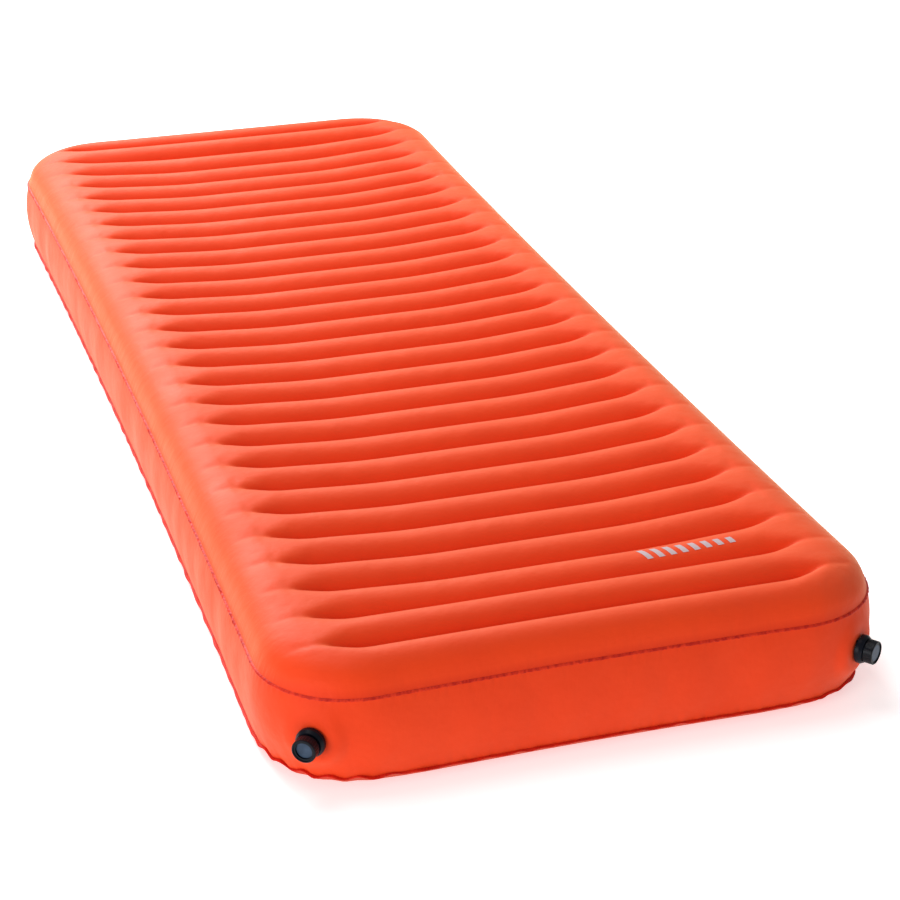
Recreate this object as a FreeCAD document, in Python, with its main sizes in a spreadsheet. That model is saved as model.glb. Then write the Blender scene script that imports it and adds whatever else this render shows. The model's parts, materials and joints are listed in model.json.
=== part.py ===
"""Inflatable sleeping pad: a welded fabric envelope held flat by 28 cross
baffles, with a twist valve in each corner of its foot end.

Frame: millimetres, +Z up, +Y towards the head end, origin on the floor under
the middle of the pad.  Both valves are in the -Y end.
"""
import FreeCAD, Part
import math
import os
import re
import Sketcher

GROOVE_COUNT = 28
FLUTE_COUNT = 24
SPOKE_COUNT = 3

doc = FreeCAD.newDocument("SleepingPad")
sheet = doc.addObject("Spreadsheet::Sheet", "Dimensions")

# ---------------------------------------------------------------- dimensions
DIMENSIONS = {
    # the envelope, measured on its weld lines
    "seam_width": 744,
    "seam_length": 2000,
    "corner_radius": 120,
    "bottom_seam": 14,
    "top_seam": 118,
    "pad_height": 158,
    "fabric": 0.8,
    "wall_bulge": 8,
    # the welded grooves of the two sheets, one pair at each baffle
    "end_rail": 66,
    "groove_length": 572,
    "top_groove_width": 65,
    "top_groove_depth": 24,
    "bottom_groove_width": 44,
    "bottom_groove_depth": 8,
    "groove_headroom": 2,
    "top_rounding": 38,
    "bottom_rounding": 13,
    # how far each baffle stops short of the two sheets
    "baffle_gap": 1.6,
    "baffle_headroom": 4,
    # the flat flange outside each perimeter weld
    "flange_gap": 0.3,
    "flange_width": 6.7,
    "flange_thickness": 1.2,
    # where the valves sit: on the corners, measured round from the sides
    "valve_angle": 53,
    "valve_height": 68,
    "valve_depth": 14,
    "valve_hole": 12.3,
    # valve body; heights run outwards from its inner end
    "bore_radius": 10,
    "tail_radius": 12,
    "collar_radius": 17.2,
    "collar_base": 14.2,
    "collar_shoulder": 18.6,
    "collar_top": 22.4,
    "collar_top_radius": 14.8,
    "stem_radius": 12,
    "stem_step": 26.6,
    "seal_radius": 11.2,
    "stem_top": 31.2,
    "stem_chamfer": 0.3,
    # thread between stem and cap
    "thread_pitch": 2.6,
    "thread_crest": 12.8,
    "thread_base": 23.6,
    "thread_rise": 1.8,
    "thread_root_half": 0.5,
    "thread_crest_half": 0.25,
    "thread_play": 0.2,
    "thread_overlap": 0.2,
    "thread_runout": 0.6,
    "cap_travel": 2.6,
    # inner flange that welds the valve to the fabric
    "flange_bore": 12.05,
    "sleeve_radius": 14.5,
    "sleeve_base": 6,
    "disc_base": 9.6,
    "disc_top": 11,
    "disc_radius": 22,
    # plug that the closed cap seats on
    "plug_radius": 9.6,
    "plug_base": 31,
    "plug_top": 33.5,
    "plug_groove_radius": 8.6,
    "plug_groove_base": 31.8,
    "plug_groove_top": 33.1,
    "plug_stem_radius": 3,
    "hub_base": 10,
    "hub_top": 16,
    "hub_inner": 8.4,
    "hub_outer": 9.95,
    "spoke_width": 2.2,
    "spoke_overlap": 0.5,
    # twist cap, closed
    "cap_base": 22.8,
    "cap_chamfer": 0.8,
    "cap_radius": 14.2,
    "cap_bore": 12.3,
    "cap_groove_base": 27.1,
    "cap_groove_top": 28.7,
    "cap_groove_radius": 12.76,
    "cap_neck_radius": 11.5,
    "cap_roof": 31.7,
    "cap_roof_top": 33.2,
    "cap_recess_radius": 12.4,
    "cap_top": 34.4,
    "mouth_radius": 9.9,
    "flute_base": 24.6,
    "flute_length": 8,
    "flute_radius": 1.4,
    "flute_centre": 15.3,
    # O-rings
    "cap_ring_radius": 11.98,
    "cap_ring_section": 0.7,
    "cap_ring_height": 27.9,
    "plug_ring_radius": 9.25,
    "plug_ring_section": 0.57,
    "plug_ring_height": 32.45,
}

for row, (alias, size) in enumerate(DIMENSIONS.items(), start=1):
    sheet.set(f"A{row}", alias)
    sheet.set(f"B{row}", str(size))
    sheet.setAlias(f"B{row}", alias)
doc.recompute()


def bound(text):
    """The expression text, with each alias pointed at the sheet."""
    def point(match):
        word = match.group(0)
        return f"Dimensions.{word}" if word in DIMENSIONS else word
    return re.sub(r"[a-z_]+", point, text)


def value(text):
    """The number that an expression of the sheet's dimensions comes to."""
    return float(sheet.evalExpression(bound(text)))


def bind(thing, **sizes):
    """Bind each named property of an object to an expression."""
    for name, text in sizes.items():
        thing.setExpression(name.replace("__", "."), bound(text))


parts = []


def name_part(thing, label, radial=None, spin=0.0, **place):
    """Label a finished sub-part and give it its place.

    radial is the direction, in degrees, that a valve piece's axis points;
    spin turns the piece about that axis.
    """
    thing.Label = label
    if radial is not None:
        turn = FreeCAD.Rotation(radial, 90, 0)
        own_turn = FreeCAD.Rotation(FreeCAD.Vector(0, 0, 1), spin)
        thing.Placement = FreeCAD.Placement(FreeCAD.Vector(), turn.multiply(own_turn))
    bind(thing, **{f"Placement__Base__{axis}": text for axis, text in place.items()})
    parts.append(thing)
    return thing


# -------------------------------------------------------------- sketch tools
def sketch_on(body, name, role):
    """A sketch on one of the body's own origin planes."""
    sketch = body.newObject("Sketcher::SketchObject", name)
    plane = next(f for f in body.Origin.OriginFeatures if f.Role == role)
    sketch.AttachmentSupport = [(plane, "")]
    sketch.MapMode = "FlatFace"
    return sketch


def pin_point(sketch, geometry, end, across, up):
    """Fix one point of a sketch at a bound distance from both axes."""
    for kind, text, axis in (("DistanceX", across, -2), ("DistanceY", up, -1)):
        if abs(value(text)) < 1e-9:
            sketch.addConstraint(Sketcher.Constraint("PointOnObject", geometry, end, axis))
            continue
        index = sketch.addConstraint(
            Sketcher.Constraint(kind, -1, 1, geometry, end, value(text)))
        sketch.setExpression(f"Constraints[{index}]", bound(text))


def outline(body, name, role, corners):
    """A closed outline of straight lines through bound corner points."""
    sketch = sketch_on(body, name, role)
    points = [FreeCAD.Vector(value(across), value(up), 0) for across, up in corners]
    for start, end in zip(points, points[1:] + points[:1]):
        sketch.addGeometry(Part.LineSegment(start, end), False)
    for index, (across, up) in enumerate(corners):
        before = (index - 1) % len(corners)
        sketch.addConstraint(Sketcher.Constraint("Coincident", before, 2, index, 1))
        pin_point(sketch, index, 1, across, up)
    return sketch


def revolve(body, name, corners):
    """A solid of revolution about the body's Z axis."""
    sketch = outline(body, f"{name}Outline", "XZ_Plane", corners)
    solid = body.newObject("PartDesign::Revolution", name)
    solid.Profile = sketch
    solid.ReferenceAxis = (sketch, ["V_Axis"])
    solid.Angle = 360
    sketch.Visibility = False
    return solid


def arc(sketch, centre, radius, first, last):
    """Add an arc, given its ends' angles in radians; returns its index."""
    circle = Part.Circle(centre, FreeCAD.Vector(0, 0, 1), radius)
    return sketch.addGeometry(Part.ArcOfCircle(circle, first, last), False)


def round_corners(body, block, radius):
    """Round a box's four upright edges."""
    upright = [f"Edge{i}" for i, edge in enumerate(block.Shape.Edges, start=1)
               if edge.tangentAt(edge.FirstParameter).z ** 2 > 0.5]
    corners = body.newObject("PartDesign::Fillet", f"{body.Name}Corners")
    corners.Base = (block, upright)
    bind(corners, Radius=radius)
    doc.recompute()
    return corners


# ------------------------------------------------------ the two fabric sheets
def panel(name, rise, rounding, groove_width, groove_depth, inset):
    """One side of the envelope as a solid block, its weld plane at Z = 0.

    The block has the pad's rounded plan, a rounded upper edge and a groove at
    each baffle, where two swelling tubes meet.  The inner block of a sheet is
    the same block, inset by the fabric's thickness.
    """
    body = doc.addObject("PartDesign::Body", name)
    block = body.newObject("PartDesign::AdditiveBox", f"{name}Block")
    bind(block, Length=f"seam_width - 2 * {inset}", Width=f"seam_length - 2 * {inset}",
         Height=f"{rise} - {inset}", Placement__Base__x=inset, Placement__Base__y=inset)
    doc.recompute()

    corners = round_corners(body, block, f"corner_radius - {inset}")

    top = value(f"{rise} - {inset}")
    crown = [f"Edge{i}" for i, edge in enumerate(corners.Shape.Edges, start=1)
             if edge.BoundBox.ZMin > top - 0.01]
    crowned = body.newObject("PartDesign::Fillet", f"{name}Crown")
    crowned.Base = (corners, crown)
    bind(crowned, Radius=f"{rounding} - {inset}")
    doc.recompute()

    groove = body.newObject("PartDesign::Pocket", f"{name}Groove")
    groove.Profile = groove_outline(body, name, rise, groove_width, groove_depth, inset)
    groove.SideType = "Symmetric"
    bind(groove, Length=f"groove_length + 2 * {inset}")
    doc.recompute()
    if groove.Shape.Volume >= crowned.Shape.Volume:
        raise RuntimeError(f"{name}: the groove cuts nothing")

    grooves = body.newObject("PartDesign::LinearPattern", f"{name}Grooves")
    grooves.Originals = [groove]
    grooves.Direction = (groove.Profile[0], ["H_Axis"])
    grooves.Occurrences = GROOVE_COUNT
    bind(grooves, Length="seam_length - 2 * end_rail")
    body.Tip = grooves
    doc.recompute()
    return body


def groove_outline(body, name, rise, width, depth, inset):
    """The gap between two round tubes that touch at the groove's bottom."""
    sketch = sketch_on(body, f"{name}GrooveOutline", "YZ_Plane")
    bind(sketch, AttachmentOffset__Base__z="seam_width / 2")
    tube = f"({width} ^ 2 / 4 + {depth} ^ 2) / (2 * {depth})"
    near = f"end_rail - {width} / 2"
    far = f"end_rail + {width} / 2"
    centre_height = f"{rise} - {tube}"
    above = f"{rise} + groove_headroom"

    radius = value(f"{tube} - {inset}")
    spread = math.acos(value(f"{width} / 2") / radius)
    near_centre = FreeCAD.Vector(value(near), value(centre_height), 0)
    far_centre = FreeCAD.Vector(value(far), value(centre_height), 0)
    near_arc = arc(sketch, near_centre, radius, spread, math.pi / 2)
    far_arc = arc(sketch, far_centre, radius, math.pi / 2, math.pi - spread)
    near_crest = near_centre + FreeCAD.Vector(0, radius, 0)
    far_crest = far_centre + FreeCAD.Vector(0, radius, 0)
    near_top = FreeCAD.Vector(value(near), value(above), 0)
    far_top = FreeCAD.Vector(value(far), value(above), 0)
    rising = sketch.addGeometry(Part.LineSegment(near_crest, near_top), False)
    across = sketch.addGeometry(Part.LineSegment(near_top, far_top), False)
    falling = sketch.addGeometry(Part.LineSegment(far_top, far_crest), False)

    joins = ((near_arc, 2, rising, 1), (rising, 2, across, 1), (across, 2, falling, 1),
             (falling, 2, far_arc, 1), (near_arc, 1, far_arc, 2))
    for join in joins:
        sketch.addConstraint(Sketcher.Constraint("Coincident", *join))
    for line in (rising, falling):
        sketch.addConstraint(Sketcher.Constraint("Vertical", line))
    pin_point(sketch, near_arc, 3, near, centre_height)
    pin_point(sketch, far_arc, 3, far, centre_height)
    pin_point(sketch, across, 1, near, above)
    pin_point(sketch, across, 2, far, above)
    index = sketch.addConstraint(Sketcher.Constraint("Radius", near_arc, radius))
    sketch.setExpression(f"Constraints[{index}]", bound(f"{tube} - {inset}"))
    sketch.addConstraint(Sketcher.Constraint("Equal", near_arc, far_arc))
    sketch.Visibility = False
    return sketch


def fabric_sheet(name, rise, rounding, groove_width, groove_depth):
    """A grooved sheet: the outer block with the inner block cut out of it."""
    sizes = (rise, rounding, groove_width, groove_depth)
    outer = panel(f"{name}Outer", *sizes, inset="0")
    inner = panel(f"{name}Inner", *sizes, inset="fabric")
    skin = doc.addObject("Part::Cut", name)
    skin.Base = outer
    skin.Tool = inner
    return skin


top_sheet = fabric_sheet("TopSheet", "(pad_height - top_seam)", "top_rounding",
                         "top_groove_width", "top_groove_depth")
name_part(top_sheet, "top_sheet",
          x="-seam_width / 2", y="-seam_length / 2", z="top_seam")

bottom_sheet = fabric_sheet("BottomSheet", "bottom_seam", "bottom_rounding",
                            "bottom_groove_width", "bottom_groove_depth")
bottom_sheet.Placement = FreeCAD.Placement(
    FreeCAD.Vector(), FreeCAD.Rotation(FreeCAD.Vector(1, 0, 0), 180))
name_part(bottom_sheet, "bottom_sheet",
          x="-seam_width / 2", y="seam_length / 2", z="bottom_seam")


# ---------------------------------------------------------------- side wall
def wall_path(body):
    """The weld line's plan: a rectangle with rounded corners."""
    sketch = sketch_on(body, "WallPath", "XY_Plane")
    wide = "seam_width / 2"
    far = "seam_length / 2"
    side = f"({wide} - corner_radius)"
    end = f"({far} - corner_radius)"
    stops = [
        (wide, "0"), (wide, end), (side, far), (f"-{side}", far), (f"-{wide}", end),
        (f"-{wide}", f"-{end}"), (f"-{side}", f"-{far}"), (side, f"-{far}"),
        (wide, f"-{end}"),
    ]
    corners = {1: (side, end), 3: (f"-{side}", end), 5: (f"-{side}", f"-{end}"),
               7: (side, f"-{end}")}
    points = [FreeCAD.Vector(value(across), value(up), 0) for across, up in stops]
    for index, (start, finish) in enumerate(zip(points, points[1:] + points[:1])):
        if index in corners:
            across, up = corners[index]
            first = (index - 1) / 2 * math.pi / 2
            arc(sketch, FreeCAD.Vector(value(across), value(up), 0),
                value("corner_radius"), first, first + math.pi / 2)
        else:
            sketch.addGeometry(Part.LineSegment(start, finish), False)
    for index, (across, up) in enumerate(stops):
        before = (index - 1) % len(stops)
        sketch.addConstraint(Sketcher.Constraint("Coincident", before, 2, index, 1))
        pin_point(sketch, index, 1, across, up)
    for index in corners:
        constraint = sketch.addConstraint(
            Sketcher.Constraint("Radius", index, value("corner_radius")))
        sketch.setExpression(f"Constraints[{constraint}]", bound("corner_radius"))
    sketch.Visibility = False
    return sketch


def wall_section(body):
    """The wall's section: a thin crescent between the two weld lines."""
    sketch = sketch_on(body, "WallSection", "XZ_Plane")
    half_height = "((top_seam - bottom_seam) / 2)"
    curve = f"(({half_height} ^ 2 + wall_bulge ^ 2) / (2 * wall_bulge))"
    centre_across = f"seam_width / 2 + wall_bulge - {curve}"
    centre_up = "(top_seam + bottom_seam) / 2"
    centre = FreeCAD.Vector(value(centre_across), value(centre_up), 0)
    arcs = []
    for radius_text in (curve, f"{curve} - fabric"):
        radius = value(radius_text)
        spread = math.asin(value(half_height) / radius)
        index = arc(sketch, centre, radius, -spread, spread)
        pin_point(sketch, index, 3, centre_across, centre_up)
        constraint = sketch.addConstraint(Sketcher.Constraint("Radius", index, radius))
        sketch.setExpression(f"Constraints[{constraint}]", bound(radius_text))
        arcs.append(index)
    outer, inner = arcs
    for end, height in ((1, "bottom_seam"), (2, "top_seam")):
        foot = sketch.getPoint(outer, end)
        head = sketch.getPoint(inner, end)
        line = sketch.addGeometry(Part.LineSegment(foot, head), False)
        sketch.addConstraint(Sketcher.Constraint("Coincident", outer, end, line, 1))
        sketch.addConstraint(Sketcher.Constraint("Coincident", inner, end, line, 2))
        sketch.addConstraint(Sketcher.Constraint("Horizontal", line))
        constraint = sketch.addConstraint(
            Sketcher.Constraint("DistanceY", -1, 1, line, 1, value(height)))
        sketch.setExpression(f"Constraints[{constraint}]", bound(height))
    sketch.Visibility = False
    return sketch


# Each valve's axis points out of its corner: (side of the pad, direction).
VALVE_SIDES = {
    "left": (-1, 180 + value("valve_angle")),
    "right": (1, -value("valve_angle")),
}


def valve_place(side, radial, outward="0"):
    """Where a valve's inner end is, moved outwards along its axis."""
    reach = f"(corner_radius + wall_bulge - valve_depth + {outward})"
    angle = f"{radial} * 1 deg"
    return {
        "x": f"{side} * (seam_width / 2 - corner_radius) + {reach} * cos({angle})",
        "y": f"corner_radius - seam_length / 2 + {reach} * sin({angle})",
        "z": "valve_height",
    }


wall_ring = doc.addObject("PartDesign::Body", "WallRing")
ring_path = wall_path(wall_ring)
ring_section = wall_section(wall_ring)
ring_pipe = wall_ring.newObject("PartDesign::AdditivePipe", "WallPipe")
ring_pipe.Profile = ring_section
ring_pipe.Spine = (ring_path, [f"Edge{i + 1}" for i in range(ring_path.GeometryCount)])
doc.recompute()

wall = wall_ring
for side_name, (side, radial) in VALVE_SIDES.items():
    drill = doc.addObject("Part::Cylinder", f"{side_name}ValveHole")
    drill.Placement.Rotation = FreeCAD.Rotation(radial, 90, 0)
    bind(drill, Radius="valve_hole", Height="2 * valve_depth")
    bind(drill, **{f"Placement__Base__{axis}": text
                   for axis, text in valve_place(side, radial).items()})
    pierced = doc.addObject("Part::Cut", f"{side_name}PiercedWall")
    pierced.Base = wall
    pierced.Tool = drill
    wall = pierced
name_part(wall, "side_wall")


# -------------------------------------------------------- the weld flanges
def rounded_slab(name, height, reach):
    """A flat slab with the weld line's plan, grown outwards by reach."""
    body = doc.addObject("PartDesign::Body", name)
    block = body.newObject("PartDesign::AdditiveBox", f"{name}Block")
    bind(block, Length=f"seam_width + 2 * ({reach})",
         Width=f"seam_length + 2 * ({reach})", Height="flange_thickness",
         Placement__Base__x=f"-seam_width / 2 - ({reach})",
         Placement__Base__y=f"-seam_length / 2 - ({reach})",
         Placement__Base__z=f"{height} - flange_thickness / 2")
    doc.recompute()
    round_corners(body, block, f"corner_radius + {reach}")
    return body


def flange_ring(label, height):
    """The flat flange that stands out of a perimeter weld."""
    ring = doc.addObject("Part::Cut", f"{label}_ring")
    ring.Base = rounded_slab(f"{label}_outer", height, "flange_gap + flange_width")
    ring.Tool = rounded_slab(f"{label}_inner", height, "flange_gap")
    return name_part(ring, label)


flange_ring("top_seam", "top_seam")
flange_ring("bottom_seam", "bottom_seam")

# ------------------------------------------------------------------- baffles
# Each baffle is a fabric web that joins the two sheets at one pair of grooves.
for number in range(GROOVE_COUNT):
    baffle = doc.addObject("Part::Box", f"Baffle{number + 1:02d}")
    bind(baffle, Length="groove_length", Width="fabric",
         Height="pad_height - top_groove_depth - baffle_headroom"
                " - bottom_groove_depth - baffle_gap")
    pitch = f"((seam_length - 2 * end_rail) / {GROOVE_COUNT - 1})"
    name_part(baffle, f"baffle_{number + 1:02d}", x="-groove_length / 2",
              y=f"end_rail - seam_length / 2 + {number} * {pitch} - fabric / 2",
              z="bottom_groove_depth + baffle_gap")


# -------------------------------------------------------------------- valves
def thread(body, name, cutting, play):
    """A right-handed thread about the body's axis."""
    half_root = f"(thread_root_half + {play})"
    half_crest = f"(thread_crest_half + {play})"
    root = f"stem_radius - thread_overlap + {play}"
    middle = "thread_base + thread_root_half"
    if cutting:
        middle = "thread_base + thread_root_half - thread_pitch"
    profile = outline(body, f"{name}Outline", "XZ_Plane", [
        (root, f"{middle} - {half_root}"),
        (f"thread_crest + {play}", f"{middle} - {half_crest}"),
        (f"thread_crest + {play}", f"{middle} + {half_crest}"),
        (root, f"{middle} + {half_root}"),
    ])
    kind = "SubtractiveHelix" if cutting else "AdditiveHelix"
    helix = body.newObject(f"PartDesign::{kind}", name)
    helix.Profile = profile
    helix.ReferenceAxis = (profile, ["V_Axis"])
    helix.Mode = "pitch-height-angle"
    helix.LeftHanded = False
    rise = "thread_rise"
    if cutting:
        rise = "thread_rise + thread_pitch + thread_runout"
    bind(helix, Pitch="thread_pitch", Height=rise)
    profile.Visibility = False
    doc.recompute()
    return helix


def valve_flange(name):
    """Soft disc with a sleeve, welded inside the wall, that grips the body."""
    body = doc.addObject("PartDesign::Body", name)
    revolve(body, f"{name}Disc", [
        ("flange_bore", "sleeve_base"),
        ("sleeve_radius", "sleeve_base"),
        ("sleeve_radius", "disc_base"),
        ("disc_radius", "disc_base"),
        ("disc_radius", "disc_top"),
        ("flange_bore", "disc_top"),
    ])
    return body


def valve_body(name):
    """Moulded tube with a collar outside the wall and a threaded stem."""
    body = doc.addObject("PartDesign::Body", name)
    revolve(body, f"{name}Tube", [
        ("bore_radius", "0"),
        ("tail_radius", "0"),
        ("tail_radius", "collar_base"),
        ("collar_radius", "collar_base"),
        ("collar_radius", "collar_shoulder"),
        ("collar_top_radius", "collar_top"),
        ("stem_radius", "collar_top"),
        ("stem_radius", "stem_step"),
        ("seal_radius", "stem_step"),
        ("seal_radius", "stem_top - stem_chamfer"),
        ("seal_radius - stem_chamfer", "stem_top"),
        ("bore_radius", "stem_top"),
    ])
    doc.recompute()
    thread(body, f"{name}Thread", cutting=False, play="0")
    return body


def mouth_plug(name):
    """Fixed stopper on a spoked hub that sits in the valve body's bore."""
    body = doc.addObject("PartDesign::Body", name)
    revolve(body, f"{name}Stopper", [
        ("0", "hub_base"),
        ("plug_stem_radius", "hub_base"),
        ("plug_stem_radius", "plug_base"),
        ("plug_radius", "plug_base"),
        ("plug_radius", "plug_groove_base"),
        ("plug_groove_radius", "plug_groove_base"),
        ("plug_groove_radius", "plug_groove_top"),
        ("plug_radius", "plug_groove_top"),
        ("plug_radius", "plug_top"),
        ("0", "plug_top"),
    ])
    revolve(body, f"{name}Ring", [
        ("hub_inner", "hub_base"),
        ("hub_outer", "hub_base"),
        ("hub_outer", "hub_top"),
        ("hub_inner", "hub_top"),
    ])
    spoke = body.newObject("PartDesign::AdditiveBox", f"{name}Spoke")
    bind(spoke, Length="hub_inner + spoke_overlap", Width="spoke_width", Height="hub_top - hub_base",
         Placement__Base__y="-spoke_width / 2", Placement__Base__z="hub_base")
    doc.recompute()
    spokes = body.newObject("PartDesign::PolarPattern", f"{name}Spokes")
    spokes.Originals = [spoke]
    spokes.Axis = (next(f for f in body.Origin.OriginFeatures if f.Role == "Z_Axis"), [""])
    spokes.Angle = 360
    spokes.Occurrences = SPOKE_COUNT
    body.Tip = spokes
    return body


def twist_cap(name):
    """Fluted cap with an inner thread, a seal groove and an open mouth."""
    body = doc.addObject("PartDesign::Body", name)
    shell = revolve(body, f"{name}Shell", [
        ("cap_bore", "cap_base"),
        ("cap_radius - cap_chamfer", "cap_base"),
        ("cap_radius", "cap_base + cap_chamfer"),
        ("cap_radius", "cap_top - cap_chamfer"),
        ("cap_radius - cap_chamfer", "cap_top"),
        ("cap_recess_radius", "cap_top"),
        ("cap_recess_radius", "cap_roof_top"),
        ("mouth_radius", "cap_roof_top"),
        ("mouth_radius", "cap_roof"),
        ("cap_neck_radius", "cap_roof"),
        ("cap_neck_radius", "cap_groove_top"),
        ("cap_groove_radius", "cap_groove_top"),
        ("cap_groove_radius", "cap_groove_base"),
        ("cap_bore", "cap_groove_base"),
    ])
    doc.recompute()

    sketch = sketch_on(body, f"{name}FluteOutline", "XY_Plane")
    bind(sketch, AttachmentOffset__Base__z="flute_base")
    centre = FreeCAD.Vector(value("flute_centre"), 0, 0)
    sketch.addGeometry(Part.Circle(centre, FreeCAD.Vector(0, 0, 1), value("flute_radius")),
                       False)
    pin_point(sketch, 0, 3, "flute_centre", "0")
    index = sketch.addConstraint(Sketcher.Constraint("Radius", 0, value("flute_radius")))
    sketch.setExpression(f"Constraints[{index}]", bound("flute_radius"))
    flute = body.newObject("PartDesign::Pocket", f"{name}Flute")
    flute.Profile = sketch
    flute.Reversed = True
    bind(flute, Length="flute_length")
    doc.recompute()
    if flute.Shape.Volume >= shell.Shape.Volume:
        raise RuntimeError(f"{name}: the flute cuts nothing")

    flutes = body.newObject("PartDesign::PolarPattern", f"{name}Flutes")
    flutes.Originals = [flute]
    flutes.Axis = (sketch, ["N_Axis"])
    flutes.Angle = 360
    flutes.Occurrences = FLUTE_COUNT
    body.Tip = flutes
    doc.recompute()
    thread_cut = thread(body, f"{name}Thread", cutting=True, play="thread_play")
    if thread_cut.Shape.Volume >= flutes.Shape.Volume:
        raise RuntimeError(f"{name}: the thread cuts nothing")
    body.Tip = thread_cut
    return body


def o_ring(name, radius, section):
    """A rubber ring of round section."""
    ring = doc.addObject("Part::Torus", name)
    bind(ring, Radius1=radius, Radius2=section)
    return ring


# The left cap is screwed out to its stop, open; the right one is closed.
CAP_OUT = {"left": "cap_travel", "right": "0"}

for side_name, (side, radial) in VALVE_SIDES.items():
    out = CAP_OUT[side_name]
    fixed = valve_place(side, radial)
    screwed = valve_place(side, radial, outward=out)
    turned = value(f"360 * {out} / thread_pitch")
    name_part(valve_flange(f"{side_name}Flange"), f"{side_name}_valve_flange",
              radial, **fixed)
    name_part(valve_body(f"{side_name}Body"), f"{side_name}_valve_body", radial, **fixed)
    name_part(mouth_plug(f"{side_name}Plug"), f"{side_name}_mouth_plug", radial, **fixed)
    name_part(o_ring(f"{side_name}PlugRing", "plug_ring_radius", "plug_ring_section"),
              f"{side_name}_plug_o_ring", radial,
              **valve_place(side, radial, outward="plug_ring_height"))
    name_part(o_ring(f"{side_name}CapRing", "cap_ring_radius", "cap_ring_section"),
              f"{side_name}_cap_o_ring", radial,
              **valve_place(side, radial, outward=f"cap_ring_height + {out}"))
    name_part(twist_cap(f"{side_name}Cap"), f"{side_name}_twist_cap", radial, turned,
              **screwed)

# -------------------------------------------------------------------- export
doc.recompute()
for thing in doc.Objects:
    if "Invalid" in thing.State or "Error" in thing.State:
        raise RuntimeError(f"{thing.Name} failed: {thing.State}")
for part in parts:
    if part.Shape.isNull() or not part.Shape.isValid():
        raise RuntimeError(f"{part.Label} has no valid shape")

os.makedirs("parts", exist_ok=True)
for part in parts:
    part.Shape.exportStep(f"parts/{part.Label}.step")
    box = part.Shape.BoundBox
    print(f"{part.Label:20s} {len(part.Shape.Solids)} solid {part.Shape.Volume:12.1f} mm3"
          f"  x {box.XMin:7.1f} {box.XMax:7.1f}  y {box.YMin:8.1f} {box.YMax:8.1f}"
          f"  z {box.ZMin:6.1f} {box.ZMax:6.1f}")
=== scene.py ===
import json
import math
import bmesh
import bpy
import numpy as np
from mathutils import Matrix, Vector
from mathutils.bvhtree import BVHTree


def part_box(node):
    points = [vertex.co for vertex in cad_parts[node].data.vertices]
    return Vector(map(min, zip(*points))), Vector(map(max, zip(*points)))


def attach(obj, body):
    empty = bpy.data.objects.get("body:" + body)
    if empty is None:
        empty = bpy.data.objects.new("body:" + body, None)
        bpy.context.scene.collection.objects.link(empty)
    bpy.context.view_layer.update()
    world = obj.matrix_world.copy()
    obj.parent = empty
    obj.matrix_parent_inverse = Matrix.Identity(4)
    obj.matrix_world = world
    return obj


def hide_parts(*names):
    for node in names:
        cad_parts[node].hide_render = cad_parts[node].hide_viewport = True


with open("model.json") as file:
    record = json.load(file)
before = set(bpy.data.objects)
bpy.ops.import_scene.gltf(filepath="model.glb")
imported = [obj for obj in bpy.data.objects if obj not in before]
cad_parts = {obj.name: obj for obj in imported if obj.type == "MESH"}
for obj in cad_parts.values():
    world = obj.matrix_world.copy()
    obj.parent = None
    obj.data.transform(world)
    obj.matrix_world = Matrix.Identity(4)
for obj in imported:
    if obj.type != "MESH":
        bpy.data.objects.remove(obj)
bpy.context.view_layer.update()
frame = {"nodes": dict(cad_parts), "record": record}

# =============================================================== top sheet
# The upper face of the envelope: one panel of nylon cloth laminated with
# urethane film, heat-welded from below to 28 cross baffles and, all round its
# edge, to the side wall.  Air pressure swells it into tubes between the welds.
top_low, top_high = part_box("top_sheet")
half_width = top_high.x
half_length = top_high.y
foot_radius = 0.120
head_radius = 0.145
top_weld_height = top_low.z
rim_height = top_high.z

baffle_boxes = [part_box(f"baffle_{number:02d}") for number in range(1, 29)]
baffle_lines = np.array([(low.y + high.y) / 2 for low, high in baffle_boxes])
baffle_foot = baffle_boxes[0][0].z
weld_end = baffle_boxes[0][1].x
pitch = baffle_lines[1] - baffle_lines[0]

# Heights in the middle of the pad, and how much higher things are elsewhere.
middle_crest = 0.1490
middle_groove = 0.1265
groove_climb = 0.0105
end_groove_climb = 0.008
head_climb = 0.002

# How far the edges bow inwards in plan, and how wide the rounded rim is.
side_bow = 0.012
head_bow = 0.004
foot_bow = 0.011
rim_curve = 0.055

# Across the pad: where the grooves start to narrow and where they have died
# out.  Along it: where the two end rails begin and where they are complete.
narrow_start = 0.243
fade_end = half_width - 0.054
rail_start = 0.80
rail_end = 0.93

# The crease that runs on from each groove's end across the rim.
crease_depth = 0.0018
crease_width = 0.0055


def ease(value, start, end):
    """0 up to start, 1 from end on, and a smooth step between them."""
    part = np.clip((value - start) / (end - start), 0, 1)
    return part * part * (3 - 2 * part)


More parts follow.
